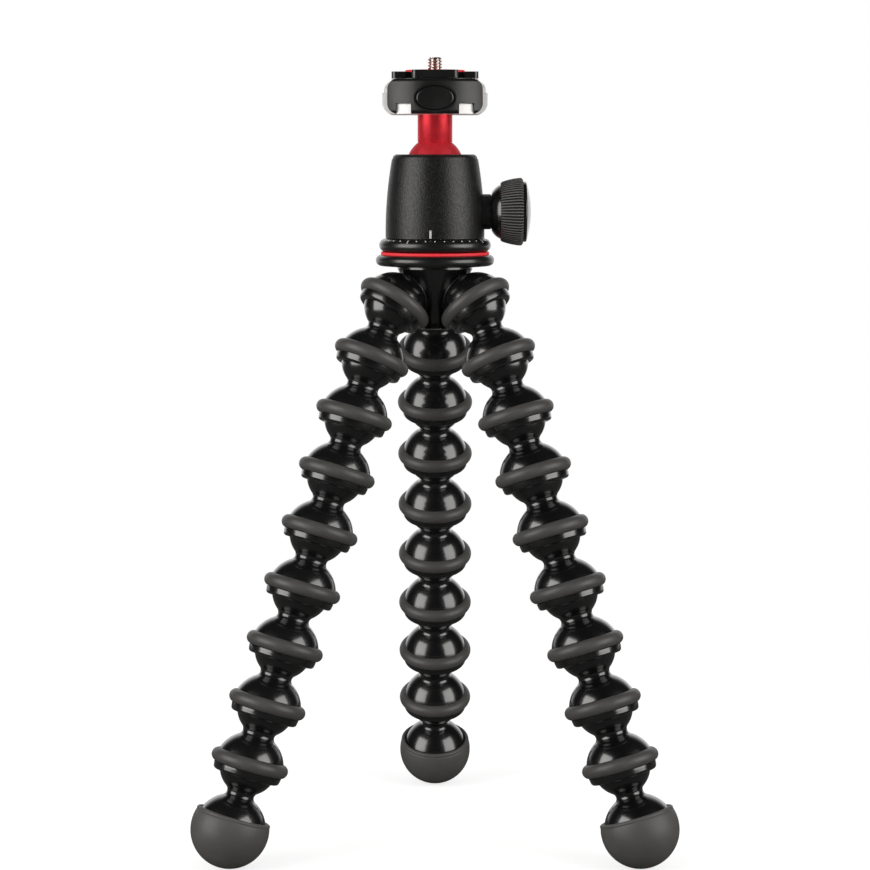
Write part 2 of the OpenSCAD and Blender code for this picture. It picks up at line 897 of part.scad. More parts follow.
module clamp_screw() {
    end_z = stem_top_z + spigot_h - clamp_screw_l + pan_gap;
    color(steel)
        in_head() {
            translate([0, 0, channel_z - clamp_screw_head_h])
                cylinder(d = clamp_screw_head_d, h = clamp_screw_head_h);
            translate([0, 0, end_z]) cylinder(d = clamp_screw_d, h = channel_z - bite - end_z);
        }
}

// Disc whose rim is the front jaw's curved front, with its upper and lower edges rounded
module jaw_crown() {
    translate([0, jaw_front_y + jaw_crown_r, clamp_z + clamp_h / 2])
        rotate_extrude($fn = 256)
            right_half() rounded_rect(2 * jaw_crown_r, clamp_h, jaw_edge_round);
}

module front_jaw() {
    color(gloss_black)
        in_head()
            difference() {
                union() {
                    intersection() {
                        translate([0, 0, clamp_z])
                            front_slab(jaw_w, clamp_h, clamp_round, jaw_front_y, base_front_y - slide_gap);
                        jaw_crown();
                    }
                    translate([0, 0, button_z])
                        oval(
                            button_room_w + 2 * collar_t,
                            button_room_h + 2 * collar_t,
                            jaw_front_y - collar_proud,
                            jaw_t / 2
                        );
                }
                mirror([0, 1, 0]) channel();
                for (s = [-1, 1])
                    translate([s * window_x - window_w / 2, -far, clamp_z - bite])
                        cube([window_w, far, window_h + bite]);
                button_room();
                at_rods()
                    translate([0, 0, rod_start_y])
                        cylinder(d = rod_d + 2 * seat_gap, h = far);
            }
}

// An oval along Y, starting at y0
module oval(w, h, y0, depth) {
    translate([0, y0, 0])
        scale([w / h, 1, 1]) rotate([-90, 0, 0]) cylinder(d = h, h = depth);
}

module button_room() {
    room_end_y = jaw_front_y + button_t + button_travel;
    translate([0, 0, button_z])
        oval(button_room_w, button_room_h, -far, far + room_end_y);
}

module release_button() {
    color(satin_black)
        in_head()
            translate([0, 0, button_z])
                oval(button_w, button_h, jaw_front_y - button_proud, button_proud + button_t - slide_gap);
}

module jaw_rods() {
    color(steel)
        in_head()
            at_rods()
                translate([0, 0, rod_start_y + seat_gap]) cylinder(d = rod_d, h = rod_l);
}

// Camera plate

// Section of the plate across the dovetail
module plate_section() {
    polygon([
        [-dovetail_w / 2, plate_z],
        [dovetail_w / 2, plate_z],
        [neck_w / 2, plate_z + dovetail_h],
        [neck_w / 2, deck_z],
        [-neck_w / 2, deck_z],
        [-neck_w / 2, plate_z + dovetail_h]
    ]);
}

// Plan of the plate's raised middle, which the frame goes round
module core_plan(grow) {
    rounded_rect(core_w + 2 * grow, core_depth + 2 * grow, plate_corner_r);
}

module camera_plate() {
    color(silver)
        in_head()
            difference() {
                union() {
                    translate([-plate_w / 2, 0, 0])
                        rotate([90, 0, 90]) linear_extrude(plate_w) plate_section();
                    translate([0, 0, deck_z - bite])
                        linear_extrude(deck_h - pad_recess + bite) core_plan(0);
                }
                cylinder(r = thread_hole_r, h = far);
                translate([0, 0, plate_z - bite])
                    cylinder(
                        d = plate_screw_head_d + 2 * slide_gap,
                        h = plate_screw_head_h + slide_gap + bite
                    );
            }
}

module block_plan() {
    translate([0, -frame_depth / 2]) rounded_rect(block_w, 2 * block_t, block_round);
}

// Plan of the frame: a rounded rectangle round the core, cut back beside the front block
module frame_plan() {
    notch_w = plate_w / 2 - ear_w - block_w / 2;
    difference() {
        union() {
            rounded_rect(plate_w, frame_depth, plate_corner_r);
            block_plan();
        }
        core_plan(seat_gap);
        for (sx = [-1, 1], sy = [-1, 1])
            translate([sx * (block_w / 2 + notch_w / 2), sy * frame_depth / 2])
                square([notch_w, 2 * notch_depth], center = true);
    }
}

module plate_frame() {
    color(gloss_black)
        in_head()
            difference() {
                translate([0, 0, deck_z + seat_gap]) {
                    linear_extrude(deck_h - seat_gap) frame_plan();
                    linear_extrude(deck_h + block_rise - seat_gap)
                        difference() {
                            block_plan();
                            core_plan(seat_gap);
                        }
                }
                translate([0, 0, deck_top_z - pad_recess])
                    cylinder(d = plate_pad_d + 2 * seat_gap, h = far);
            }
}

module end_stops() {
    color(satin_black)
        in_head()
            for (s = [-1, 1])
                translate([s * (plate_w - end_foot_w) / 2, 0, plate_z - end_foot_h])
                    linear_extrude(end_foot_h - seat_gap)
                        rounded_rect(end_foot_w, end_foot_depth, end_foot_round);
}

module plate_pad() {
    color(pad_red)
        in_head()
            translate([0, 0, plate_pad_z])
                difference() {
                    cylinder(d = plate_pad_d, h = plate_pad_t);
                    translate([0, 0, -bite]) cylinder(r = thread_hole_r, h = far);
                }
}

// The shank is relieved inside the plate, so that the plate keeps the screw
module camera_screw() {
    color(steel)
        in_head() {
            translate([0, 0, plate_z]) cylinder(d = plate_screw_head_d, h = plate_screw_head_h);
            translate([0, 0, plate_z]) cylinder(r = captive_r, h = plate_pad_top_z - plate_z + bite);
            translate([0, 0, plate_pad_top_z]) screw_shank(thread_r, camera_screw_h);
        }
}

module level_vial() {
    color(vial_green)
        in_head()
            translate([-vial_w / 2, vial_y - vial_depth / 2, plate_z - vial_h - seat_gap])
                cube([vial_w, vial_depth, vial_h]);
}

for (leg = [0:len(LEGS) - 1]) {
    name = LEGS[leg];
    hub_ring(leg);
    foot(leg);
    boot(leg);
    for (i = [1:links]) {
        link(leg, i);
    }
}
hub_body();
mount_disc();
disc_screws();
disc_pad();
tripod_screw();
pan_base();
pan_axle();
floor_plate();
housing();
ball_seat();
brake_shoe();
lock_screw();
knob_hub();
knob_grip();
knob_cap();
ball_stem();
clamp_base();
clamp_screw();
front_jaw();
jaw_rods();
release_button();
camera_plate();
plate_frame();
end_stops();
plate_pad();
camera_screw();
level_vial();
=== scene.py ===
import json
import math

import bmesh
import bpy
from mathutils import Matrix, Vector


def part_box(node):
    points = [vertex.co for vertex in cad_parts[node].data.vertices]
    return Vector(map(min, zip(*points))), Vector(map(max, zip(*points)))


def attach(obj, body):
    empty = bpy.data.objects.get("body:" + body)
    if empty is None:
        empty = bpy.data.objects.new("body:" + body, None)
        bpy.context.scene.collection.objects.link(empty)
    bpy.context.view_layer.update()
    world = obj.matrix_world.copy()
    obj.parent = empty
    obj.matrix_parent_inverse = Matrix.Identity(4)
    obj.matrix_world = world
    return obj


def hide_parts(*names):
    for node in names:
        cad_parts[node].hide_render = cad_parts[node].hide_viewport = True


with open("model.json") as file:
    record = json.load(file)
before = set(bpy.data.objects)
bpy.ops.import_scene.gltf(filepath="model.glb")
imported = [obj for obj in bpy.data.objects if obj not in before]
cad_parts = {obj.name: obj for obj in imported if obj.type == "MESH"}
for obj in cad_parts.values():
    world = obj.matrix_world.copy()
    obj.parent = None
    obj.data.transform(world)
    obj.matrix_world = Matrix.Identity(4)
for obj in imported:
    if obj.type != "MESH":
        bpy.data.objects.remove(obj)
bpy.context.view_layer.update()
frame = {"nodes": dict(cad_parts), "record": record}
nodes = frame["nodes"]
scene = bpy.context.scene

MM = 0.001

# ---------------------------------------------------------------- sizes, in millimetres and degrees

# Legs: how many links, where they stand round the hub, and the lean of socket, links and foot
LINKS = 8
FOOT_BALL = LINKS + 1
LEGS = {"left": 210.0, "right": 330.0, "back": 90.0}
LEANS = [38.0, 25.5] + [19.2] * 8
HUB_BALL_X = 21.3

# Links: ball, neck groove, round outside and the socket with its lip
BALL_R = 12.5
GROOVE_R = 2.3
DOME_R = 15.0
SOCKET_R = 12.7
LINK_PITCH = 26.1
LIP_DROP = 4.6
LIP_ROUND = 1.5
MOUTH_DEPTH = 0.3
MOUTH_SHIFT = 0.4
MOUTH_ROUND = 0.35
MOUTH_TURN = 3.0

# Rubber ring and its seat in a link
RING_R = 3.0
RING_X = 14.0
RING_RISE = 1.65
RING_EDGE = 0.12
RING_EDGE_TURN = 2.0
SEAT_R = 13.9
SEAT_GAP = 0.08
SEAT_EDGE = 0.1
DOME_GAP = 0.06
RING_IN_R = SEAT_R + SEAT_GAP
RING_HALF = math.sqrt(RING_R ** 2 - (RING_IN_R - RING_X) ** 2)

# Foot and boot
FOOT_R = 15.4
FOOT_REACH = 27.9
BOOT_IN_R = 15.48
BOOT_R = 16.98
BOOT_RIM = 5.3
BOOT_OUT_TURN = 3.0
BOOT_IN_TURN = 4.0
BEAD_R = 1.0
BEAD_START = -30.0
BEAD_STOP = 200.0

# Hub: radius and height of the column and its post, from the plane of the hub's balls
COLUMN = [(5.8, -8.4), (5.85, -7.2), (6.15, -5.8), (6.75, -4.3), (7.6, -2.8), (8.5, -1.4),
          (16.6, 16.1), (16.6, 17.3)]
POST = [(0.0, -1.6), (8.45, -1.45), (8.1, -2.0), (7.6, -2.8), (6.75, -4.3), (6.15, -5.8),
        (5.85, -7.2), (5.8, -8.4), (5.95, -9.2), (6.15, -9.7), (6.2, -10.1), (0.0, -10.1)]
CREASE_R = 0.24
CREASE_LOW = -4.0
CREASE_RISE = 18.0
CREASE_STEPS = 120
FOOT_RING_R = 0.38
FOOT_RING_X = 6.08
FOOT_RING_Z = -10.25
FOOT_RING_IN_R = 5.2
FOOT_RING_STEP = 0.05

# Threads, the camera screw's head and the tripod screw's flange
THREAD_PITCH = 1.27
THREAD_R = 3.175
THREAD_DEPTH = 0.75
ROOT_R = THREAD_R - THREAD_DEPTH
CREST_SLOPE = 2.5
ROOT_FLAT = 0.12
TIP_TAPER = 0.7
SCREW_HEAD_R = 6.0
SCREW_HEAD_H = 2.0
SCREW_HEAD_EDGE = 0.4
SCREW_OVERLAP = 0.6
STUD_EDGE = 0.4
STUD_RISE = 0.1
STUD_OVERLAP = 0.4
FLANGE_R = 7.0
FLANGE_H = 1.6
FLANGE_EDGE = 0.3

# Ball with its stem: the foot's profile is measured from the stem's side and the ball's edge
HEAD_BALL_R = 12.5
STEM_R = 7.6
STEM_FOOT = [(-0.25, -0.3), (-0.2, 0.15), (0.0, 0.4)]
STEM_EDGE = 0.3

# Printed marks on base and housing
BASE_R = 24.5
BASE_H = 5.8
HOUSING_R = 21.7
MARKS = 36
MARK_START = -120.0
MARK_STEP = 10.0
MARK_LIFT = 0.03
MARK_DEPTH = 0.05
TICK_EVERY = 9
TICK_TOP = 72.0
TICK_SPAN = 44.0
TICK_PARTS = 8
TICK_HALF_W = 0.22
DOT_R = 0.31
DOT_SLOPE = 52.0
DOT_SIDES = 12
INDEX_X = -1.95
INDEX_W = 0.9
INDEX_H = 3.5
INDEX_LOW = 0.3
INDEX_LIFT = 0.04
INDEX_ACROSS = 3
INDEX_UP = 4

# Knob: places along its axis from the head's middle, washer, ribbed grip and cap
BOSS_X = 24.4
KNOB_X = 24.8
WASHER_IN_R = 3.1
WASHER_R = 7.5
WASHER_EDGE = 0.3
WASHER_GAP = 0.08
WASHER_STEP = 0.2
GRIP_X = 28.7
GRIP_END_X = 38.6
GRIP_GAP = 0.08
GRIP_R = 12.9
GRIP_END_R = 14.9
GRIP_CORE_R = 10.28
GRIP_BELLY = 1.6
GRIP_ROWS = 14
GRIP_START_ROUND = 0.3
GRIP_START_TO = 0.06
GRIP_END_ROUND = 0.9
GRIP_END_FROM = 0.9
GRIP_RIBS = 68
RIB_STEPS = 8
# Steps round each rib whose faces are coloured near black: painted shade down in the groove
GROOVE_SHADE_STEPS = (2, 3, 4, 5)
RIB_GROOVE = (0.2, 0.8)
RIB_DEPTH = 0.2
RIB_DEEPER = 0.55
RIB_WAVE = 0.9
CAP_R = 13.2
CAP_H = 3.5
CAP_EDGE = 0.3
CAP_RIM = 1.0
CAP_ROUND = 0.5
CAP_ROUND_STOP = 75.0

# Button: share of the oval's half width and depth from its front
BUTTON_W = 16.0
BUTTON_H = 10.0
BUTTON_SIDES = 96
DISH = [(0.35, 0.27), (0.6, 0.17), (0.78, 0.05), (0.88, 0.0), (0.94, 0.05), (0.98, 0.22),
        (1.0, 0.55)]
DISH_DEPTH = 0.3

# Pieces whose sharp edges are bevelled: their body and the bevel's width
SOFTENED = {
    "plate_frame": ("camera_plate", 0.5),
    "camera_plate": ("camera_plate", 0.2),
    "end_stops": ("camera_plate", 0.4),
    "plate_pad": ("camera_plate", 0.35),
    "level_vial": ("camera_plate", 0.3),
    "disc_pad": ("hub", 0.3),
    "clamp_base": ("clamp", 0.3),
}
BEVEL_ANGLE = 30.0
BEVEL_SHARP = 50.0
FLAT_ANGLE = 1.0
WELD_M = 1e-6


# ---------------------------------------------------------------- geometry helpers

def arc(cx, cz, r, start, stop, steps):
    """Points on a circle's arc, angles in degrees."""
    turns = [math.radians(start + (stop - start) * k / steps) for k in range(steps + 1)]
    return [(cx + r * math.cos(t), cz + r * math.sin(t)) for t in turns]


def lathe_into(bm, profile, segments=96, mat=0, closed=False):
    """Turns (radius, height) points about Z into a bmesh."""
    columns = []
    for r, z in profile:
        if r < 1e-6:
            columns.append([bm.verts.new((0.0, 0.0, z))])
            continue
        turns = [2 * math.pi * k / segments for k in range(segments)]
        columns.append([bm.verts.new((r * math.cos(t), r * math.sin(t), z)) for t in turns])
    pairs = list(zip(columns, columns[1:]))
    if closed:
        pairs.append((columns[-1], columns[0]))
    for lower, upper in pairs:
        for k in range(segments):
            n = (k + 1) % segments
            if len(lower) == 1:
                face = bm.faces.new((lower[0], upper[k], upper[n]))
            elif len(upper) == 1:
                face = bm.faces.new((lower[k], upper[0], lower[n]))
            else:
                face = bm.faces.new((lower[k], upper[k], upper[n], lower[n]))
            face.material_index = mat


def bridge(bm, a, b):
    """Joins two rings of as many points with four-sided faces, and gives these faces."""
    count = len(a)
    return [bm.faces.new((a[k], a[(k + 1) % count], b[(k + 1) % count], b[k]))
            for k in range(count)]


def outward(bm):
    """Turns the faces of closed shells outward."""
    bmesh.ops.recalc_face_normals(bm, faces=bm.faces)


def thicken(bm):
    """Makes a printed mark's sheet a thin closed solid."""
    sheet = bm.verts[:] + bm.edges[:] + bm.faces[:]
    bmesh.ops.solidify(bm, geom=sheet, thickness=MARK_DEPTH)
    outward(bm)


def smooth_mesh(name, bm, mats, sharp=180.0):
    """A smooth mesh from a bmesh, where edges that turn by more than the angle stay sharp."""
    bm.normal_update()
    limit = math.radians(sharp)
    for e in bm.edges:
        if len(e.link_faces) == 2:
            e.smooth = e.calc_face_angle(0.0) < limit
    mesh = bpy.data.meshes.new(name)
    bm.to_mesh(mesh)
    bm.free()
    for m in mats:
        mesh.materials.append(m)
    for p in mesh.polygons:
        p.use_smooth = True
    return mesh


def mesh_mm(name, bm, mats, sharp=180.0):
    """A smooth mesh from a bmesh in millimetres."""
    bmesh.ops.scale(bm, vec=(MM, MM, MM), verts=bm.verts)
    return smooth_mesh(name, bm, mats, sharp)


def place(name, mesh, matrix=Matrix()):
    """An object with the mesh, at the matrix."""
    obj = bpy.data.objects.new(name, mesh)
    scene.collection.objects.link(obj)
    obj.matrix_world = matrix
    return obj


def box_mm(node):
    """A node's lowest and highest corner, in millimetres."""
    low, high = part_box(node)
    return [v / MM for v in low], [v / MM for v in high]


# ---------------------------------------------------------------- materials

NOISE_LOW = 0.3
NOISE_HIGH = 0.7
PEEL_SCALE = 180.0


def srgb(code):
    """Linear colour from a hex code."""
    parts = [int(code[i:i + 2], 16) / 255 for i in (1, 3, 5)]
    return tuple(c / 12.92 if c <= 0.04045 else ((c + 0.055) / 1.055) ** 2.4 for c in parts)


def add_node(tree, kind, values=()):
    """A shader node with constants on its own sockets."""
    node = tree.nodes.new(kind)
    for socket, value in dict(values).items():
        node.inputs[socket].default_value = value
    return node


def material(name, colour, rough, metal=0.0, specular=0.5, coat=0.0, coat_rough=0.05, shade=0.25,
             blotch=60.0, rough_var=0.08, grain=1500.0, grain_depth=0.00004, peel=0.0):
    """A Principled material whose colour, roughness and surface vary with layered noise."""
    mat = bpy.data.materials.new(name)
    mat.use_nodes = True
    tree = mat.node_tree
    tree.nodes.clear()
    link = tree.links.new
    out = add_node(tree, "ShaderNodeOutputMaterial")
    bsdf = add_node(tree, "ShaderNodeBsdfPrincipled", {
        "Metallic": metal, "Specular IOR Level": specular,
        "Coat Weight": coat, "Coat Roughness": coat_rough})
    link(bsdf.outputs["BSDF"], out.inputs["Surface"])
    where = add_node(tree, "ShaderNodeTexCoord").outputs["Object"]

    def noise(scale, detail, roughness=0.5):
        node = add_node(tree, "ShaderNodeTexNoise", {
            "Scale": scale, "Detail": detail, "Roughness": roughness})
        link(where, node.inputs["Vector"])
        return node.outputs["Fac"]

    def bump(height, depth):
        node = add_node(tree, "ShaderNodeBump", {"Strength": 1.0, "Distance": depth})
        link(height, node.inputs["Height"])
        return node

    cloud = noise(blotch, 5.0, 0.6)
    ramp = add_node(tree, "ShaderNodeValToRGB")
    dark, light = ramp.color_ramp.elements
    dark.position = NOISE_LOW
    light.position = NOISE_HIGH
    dark.color = tuple(c * (1 - shade) for c in colour) + (1.0,)
    light.color = tuple(min(1.0, c * (1 + shade)) for c in colour) + (1.0,)
    link(cloud, ramp.inputs["Fac"])
    link(ramp.outputs["Color"], bsdf.inputs["Base Color"])

    spread = add_node(tree, "ShaderNodeMapRange", {
        "From Min": NOISE_LOW, "From Max": NOISE_HIGH,
        "To Min": max(0.02, rough - rough_var), "To Max": min(1.0, rough + rough_var)})
    link(cloud, spread.inputs["Value"])
    link(spread.outputs["Result"], bsdf.inputs["Roughness"])

    fine = bump(noise(grain, 3.0), grain_depth)
    if peel:
        soft = bump(noise(PEEL_SCALE, 1.0), peel)
        link(soft.outputs["Normal"], fine.inputs["Normal"])
        link(soft.outputs["Normal"], bsdf.inputs["Coat Normal"])
    link(fine.outputs["Normal"], bsdf.inputs["Normal"])
    return mat


GLOSS = material("gloss_black_plastic", (0.004, 0.004, 0.0042), rough=0.26, coat=1.0,
                 coat_rough=0.16, shade=0.3, rough_var=0.04, grain=900.0, grain_depth=0.000006,
                 peel=0.000008)
LEG = material("leg_plastic", (0.004, 0.004, 0.0042), rough=0.24, coat=1.0, coat_rough=0.15,
               shade=0.3, rough_var=0.04, grain=900.0, grain_depth=0.000006, peel=0.000008)
RUBBER = material("grey_rubber", (0.057, 0.055, 0.053), rough=0.44, shade=0.14, rough_var=0.06,
                  grain=2200.0, grain_depth=0.00006)
BOOT = material("boot_rubber", (0.068, 0.066, 0.064), rough=0.5, shade=0.1, rough_var=0.06,
                grain=2200.0, grain_depth=0.00006)
GRIP = material("grip_rubber", (0.1, 0.096, 0.092), rough=0.55, specular=0.4, shade=0.12,
                grain=2600.0, grain_depth=0.00005)
# Near-black rubber for the faces down in the grip's grooves: painted shade in the recesses, not a
# different rubber
GRIP_GROOVE_SHADE = material("grip_groove_painted_shade", (0.008, 0.008, 0.008), rough=0.7, specular=0.2,
                     shade=0.2, grain=2600.0, grain_depth=0.00005)
PAD = material("red_pad", srgb("#e8313a"), rough=0.6, specular=0.35, shade=0.06, grain=2200.0,
               grain_depth=0.00006)
STEEL = material("bright_steel", (0.72, 0.69, 0.66), rough=0.28, metal=1.0, shade=0.1,
                 grain=1600.0, grain_depth=0.00001)
BLACK_ALU = material("black_aluminium", (0.006, 0.0058, 0.0055), rough=0.4, specular=0.45,
                     shade=0.35, blotch=900.0, rough_var=0.1, grain=1400.0, grain_depth=0.00012)
RED_ALU = material("red_aluminium", srgb("#e02b38"), rough=0.38, metal=0.55, shade=0.1,
                   blotch=300.0, grain=1800.0, grain_depth=0.00007)
RED_BALL = material("red_aluminium_ball", srgb("#c2222f"), rough=0.5, metal=0.25, specular=0.4,
                    shade=0.1, blotch=300.0, grain=1800.0, grain_depth=0.00007)
SEAT = material("seat_plastic", srgb("#d8d4c8"), rough=0.5, shade=0.05)
MARK = material("mark_white", (0.9, 0.9, 0.88), rough=0.5, shade=0.04)
SILVER = material("silver_aluminium", (0.88, 0.87, 0.85), rough=0.5, metal=0.12, shade=0.03,
                  grain=2400.0, grain_depth=0.00002)
SATIN = material("satin_black_plastic", (0.005, 0.005, 0.005), rough=0.34, coat=0.6,
                 coat_rough=0.24, shade=0.2, grain=2600.0, grain_depth=0.00002)
JAW = material("jaw_black_plastic", (0.004, 0.004, 0.004), rough=0.42, specular=0.4, coat=0.25,
               coat_rough=0.3, shade=0.2, grain=2600.0, grain_depth=0.00002)
GREEN = material("pale_green_plastic", srgb("#dfe8a8"), rough=0.35, shade=0.04)
# Fillet beads where the sockets meet the column: real beads under a gloss coat, on a grey base
# lighter than the black plastic as a painted highlight line
CREASE = material("fillet_painted_highlight", (0.05, 0.049, 0.047), rough=0.3, coat=1.0,
                  coat_rough=0.12, shade=0.2)

LOOK = {
    "gloss_black_plastic": GLOSS, "leg_plastic": LEG, "grey_rubber": RUBBER, "grip_rubber": GRIP,
    "red_pad": PAD, "bright_steel": STEEL, "black_aluminium": BLACK_ALU, "red_aluminium": RED_ALU,
    "seat_plastic": SEAT, "silver_aluminium": SILVER, "satin_black_plastic": SATIN,
    "pale_green_plastic": GREEN,
}
OWN_LOOK = {"pan_base": SATIN, "mount_disc": SATIN, "front_jaw": JAW}
SLOT_OF = {part["node"]: part["material_slot"] for part in frame["record"]["subparts"]}
for name, obj in nodes.items():
    look = OWN_LOOK.get(name) or LOOK[SLOT_OF[name]]
    obj.data.materials.clear()
    obj.data.materials.append(look)
    for p in obj.data.polygons:
        p.material_index = 0


# ---------------------------------------------------------------- legs

def ball_places():
    """Distance from the hub's axis and height of the nine balls of a leg, in millimetres."""
    heights = {FOOT_BALL: BOOT_R + FOOT_REACH * math.cos(math.radians(LEANS[FOOT_BALL]))}
    for i in range(LINKS, 0, -1):
        heights[i] = heights[i + 1] + LINK_PITCH * math.cos(math.radians(LEANS[i]))
    reach = {1: HUB_BALL_X}
    for i in range(2, FOOT_BALL + 1):
        reach[i] = reach[i - 1] + LINK_PITCH * math.sin(math.radians(LEANS[i - 1]))
    return {i: (reach[i], heights[i]) for i in range(1, FOOT_BALL + 1)}


BALLS = ball_places()


def at_ball(leg, i, lean):
    """Places a piece drawn about a ball's centre, with its axis along Z."""
    x, z = BALLS[i]
    return (Matrix.Rotation(math.radians(LEGS[leg]), 4, "Z")
            @ Matrix.Translation((x * MM, 0.0, z * MM))
            @ Matrix.Rotation(math.radians(-LEANS[lean]), 4, "Y"))


def neck_profile(end_r, reach):
    """Ball and neck groove, and the angle at which the round end's own arc starts."""
    to_ball = BALL_R + GROOVE_R
    to_end = end_r + GROOVE_R
    gz = (to_ball ** 2 - to_end ** 2 + reach ** 2) / (2 * reach)
    gx = math.sqrt(to_ball ** 2 - gz ** 2)
    a_ball = math.degrees(math.atan2(-gz, gx))
    a_end = math.degrees(math.atan2(reach - gz, gx))
    pts = arc(0, 0, BALL_R, 90, a_ball, steps=34)
    pts += arc(gx, -gz, GROOVE_R, 180 + a_ball, 180 + a_end, steps=14)[1:]
    return pts, a_end


def ring_into(bm, z0, mat=0):
    """The rubber ring: a rounded outside and a flat back with small edge roundings."""
    middle = z0 + RING_RISE
    end = math.degrees(math.acos((RING_IN_R - RING_X) / RING_R)) - RING_EDGE_TURN
    pts = arc(RING_X, middle, RING_R, -end, end, steps=26)
    pts += [(RING_IN_R, middle + RING_HALF - RING_EDGE),
            (RING_IN_R, middle - RING_HALF + RING_EDGE)]
    lathe_into(bm, pts, mat=mat, closed=True)


def link_bmesh():
    """A link about its ball: ball, neck, dome with the ring's seat, lip and socket, and the ring."""
    bm = bmesh.new()
    pts, a_end = neck_profile(DOME_R, LINK_PITCH)
    c = -LINK_PITCH
    ring_top = RING_RISE + RING_HALF
    ring_low = RING_RISE - RING_HALF
    a_top = math.degrees(math.asin((ring_top + DOME_GAP) / DOME_R))
    pts += arc(0, c, DOME_R, a_end, a_top, steps=16)[1:]
    pts += [(SEAT_R, c + ring_top - SEAT_EDGE), (SEAT_R, c + ring_low + SEAT_EDGE)]
    a_low = math.degrees(math.asin((ring_low - DOME_GAP) / DOME_R))
    lip_mid = LIP_DROP - LIP_ROUND
    lip_x = math.sqrt(DOME_R ** 2 - lip_mid ** 2) - LIP_ROUND
    a_lip = -math.degrees(math.asin(lip_mid / DOME_R))
    pts += arc(0, c, DOME_R, a_low, a_lip, steps=4)
    pts += arc(lip_x, c - lip_mid, LIP_ROUND, 0, -90, steps=8)[1:]
    a_in = -math.degrees(math.asin((LIP_DROP - MOUTH_DEPTH) / SOCKET_R))
    mouth_x = SOCKET_R * math.cos(math.radians(a_in)) + MOUTH_SHIFT
    pts += arc(mouth_x, c - LIP_DROP + MOUTH_ROUND, MOUTH_ROUND, 270, 190, steps=4)
    pts += arc(0, c, SOCKET_R, a_in + MOUTH_TURN, 90, steps=16)
    lathe_into(bm, pts)
    ring_into(bm, c, mat=1)
    outward(bm)
    return bm


def ring_bmesh():
    """The ring on a hub socket, about the socket's ball."""
    bm = bmesh.new()
    ring_into(bm, 0.0)
    outward(bm)
    return bm


def foot_bmesh():
    """A foot's core about its ball: ball, neck and round end."""
    bm = bmesh.new()
    pts, a_end = neck_profile(FOOT_R, FOOT_REACH)
    pts += arc(0, -FOOT_REACH, FOOT_R, a_end, -90, steps=30)[1:]
    pts[-1] = (0.0, -FOOT_REACH - FOOT_R)
    lathe_into(bm, pts)
    outward(bm)
    return bm


def boot_bmesh():
    """The rubber boot, with its rolled rim, about the middle of the foot's round end."""
    bm = bmesh.new()
    mid_r = (BOOT_IN_R + BOOT_R) / 2
    rim_x = math.sqrt(mid_r ** 2 - BOOT_RIM ** 2)
    a_rim = math.degrees(math.asin(BOOT_RIM / mid_r))
    pts = arc(0, 0, BOOT_R, -90, a_rim - BOOT_OUT_TURN, steps=48)
    pts[0] = (0.0, -BOOT_R)
    pts += arc(rim_x, BOOT_RIM, BEAD_R, BEAD_START, BEAD_STOP, steps=14)
    pts += arc(0, 0, BOOT_IN_R, a_rim - BOOT_IN_TURN, -90, steps=30)
    pts[-1] = (0.0, -BOOT_IN_R)
    lathe_into(bm, pts, segments=128)
    outward(bm)
    return bm


LEG_SHARP = 38.0
LINK_DATA = mesh_mm("leg_link_look", link_bmesh(), [LEG, RUBBER], LEG_SHARP)
RING_DATA = mesh_mm("grip_ring_look", ring_bmesh(), [RUBBER], LEG_SHARP)
FOOT_DATA = mesh_mm("foot_look", foot_bmesh(), [LEG], LEG_SHARP)
BOOT_DATA = mesh_mm("boot_look", boot_bmesh(), [BOOT], LEG_SHARP)

for leg in LEGS:
    piece = place(f"{leg}_hub_ring_look", RING_DATA, at_ball(leg, 1, 0))
    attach(piece, f"{leg}_hub_ring")
    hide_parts(f"{leg}_hub_ring")
    for i in range(1, LINKS + 1):
        piece = place(f"{leg}_link_{i}_look", LINK_DATA, at_ball(leg, i, i))
        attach(piece, f"{leg}_link_{i}")
        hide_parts(f"{leg}_link_{i}")
    foot_place = at_ball(leg, FOOT_BALL, FOOT_BALL)
    piece = place(f"{leg}_foot_look", FOOT_DATA, foot_place)
    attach(piece, f"{leg}_foot")
    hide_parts(f"{leg}_foot")
    boot_place = foot_place @ Matrix.Translation((0.0, 0.0, -FOOT_REACH * MM))
    piece = place(f"{leg}_boot_look", BOOT_DATA, boot_place)
    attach(piece, f"{leg}_foot")
    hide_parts(f"{leg}_boot")


# ---------------------------------------------------------------- hub

HUB_Z = BALLS[1][1]


def tube_into(bm, points, radius, sides=8):
    """A round tube along a closed curve of points in millimetres."""
    count = len(points)
    rings = []
    for k, p in enumerate(points):
        along = (Vector(points[(k + 1) % count]) - Vector(points[k - 1])).normalized()
        side = along.cross(Vector((0.0, 0.0, 1.0)))
        if side.length < 1e-4:
            side = Vector((1.0, 0.0, 0.0))
        side.normalize()
        up = side.cross(along)
        turns = [2 * math.pi * s / sides for s in range(sides)]
        rings.append([bm.verts.new(Vector(p) + radius * (math.cos(t) * side + math.sin(t) * up))
                      for t in turns])
    for a, b in zip(rings, rings[1:] + rings[:1]):
        bridge(bm, a, b)


def column_r(z):
    """The column's radius at a height."""
    for (r0, z0), (r1, z1) in zip(COLUMN, COLUMN[1:]):
        if z0 <= z <= z1:
            return r0 + (r1 - r0) * (z - z0) / (z1 - z0)
    return COLUMN[0][0]


